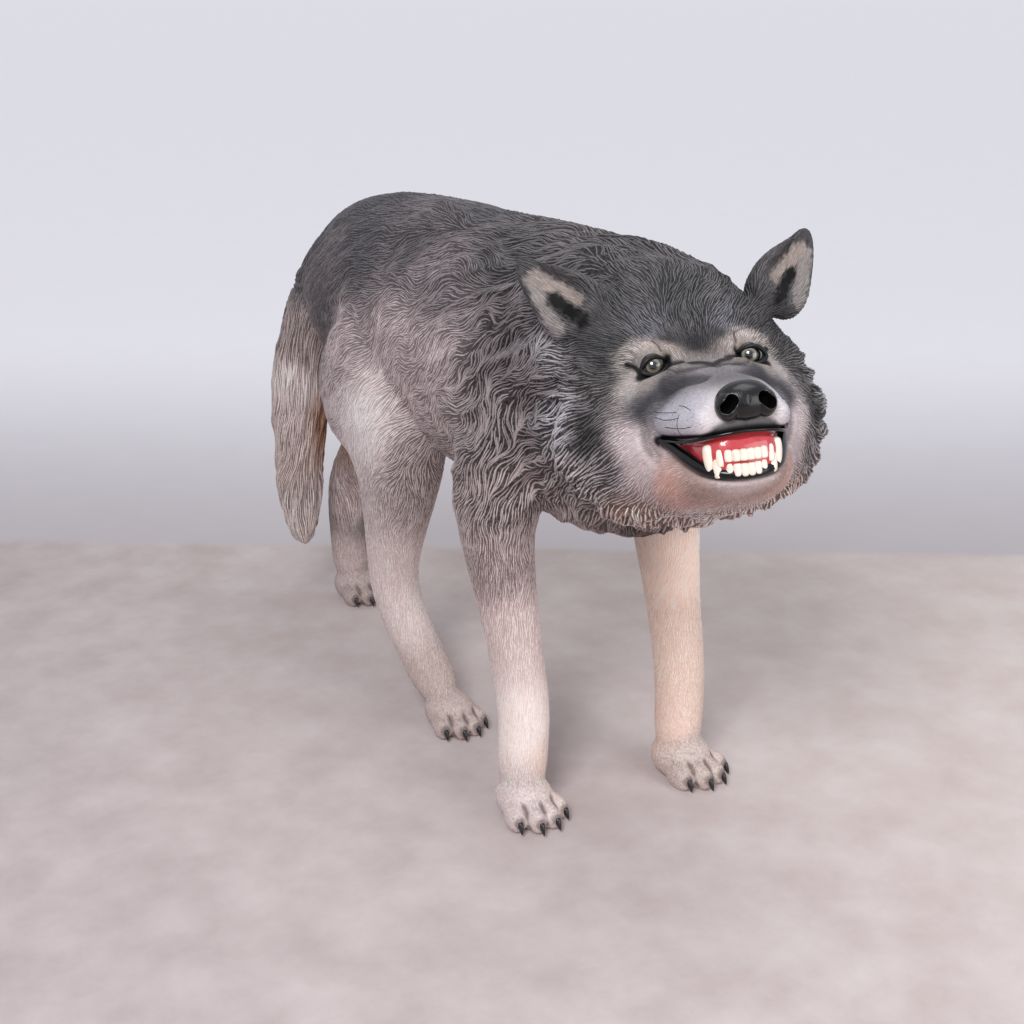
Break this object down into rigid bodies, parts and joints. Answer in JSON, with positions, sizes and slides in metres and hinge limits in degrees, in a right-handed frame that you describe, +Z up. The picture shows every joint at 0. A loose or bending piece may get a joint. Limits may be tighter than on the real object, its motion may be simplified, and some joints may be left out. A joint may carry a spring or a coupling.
{
  "type": "wolf figure",
  "caption": "Life-size walking wolf figure cast in one piece, head turned and snarling, standing free on its four paws.",
  "frame": {"origin": "middle of the figure's length and width, on the floor that its four soles stand on", "axes": "+Z up, -Y the way the body walks, +X the wolf's own left"},
  "size_m": [0.3954, 1.2568, 0.8239],
  "materials": {
    "painted_fur": "cast resin painted by hand: matt fur in charcoal, tan and cream, with gloss on the nose, lips, eyes, teeth and claws"
  },
  "bodies": {
    "root": {"wolf_figure": "painted_fur"}
  },
  "joints": []
}
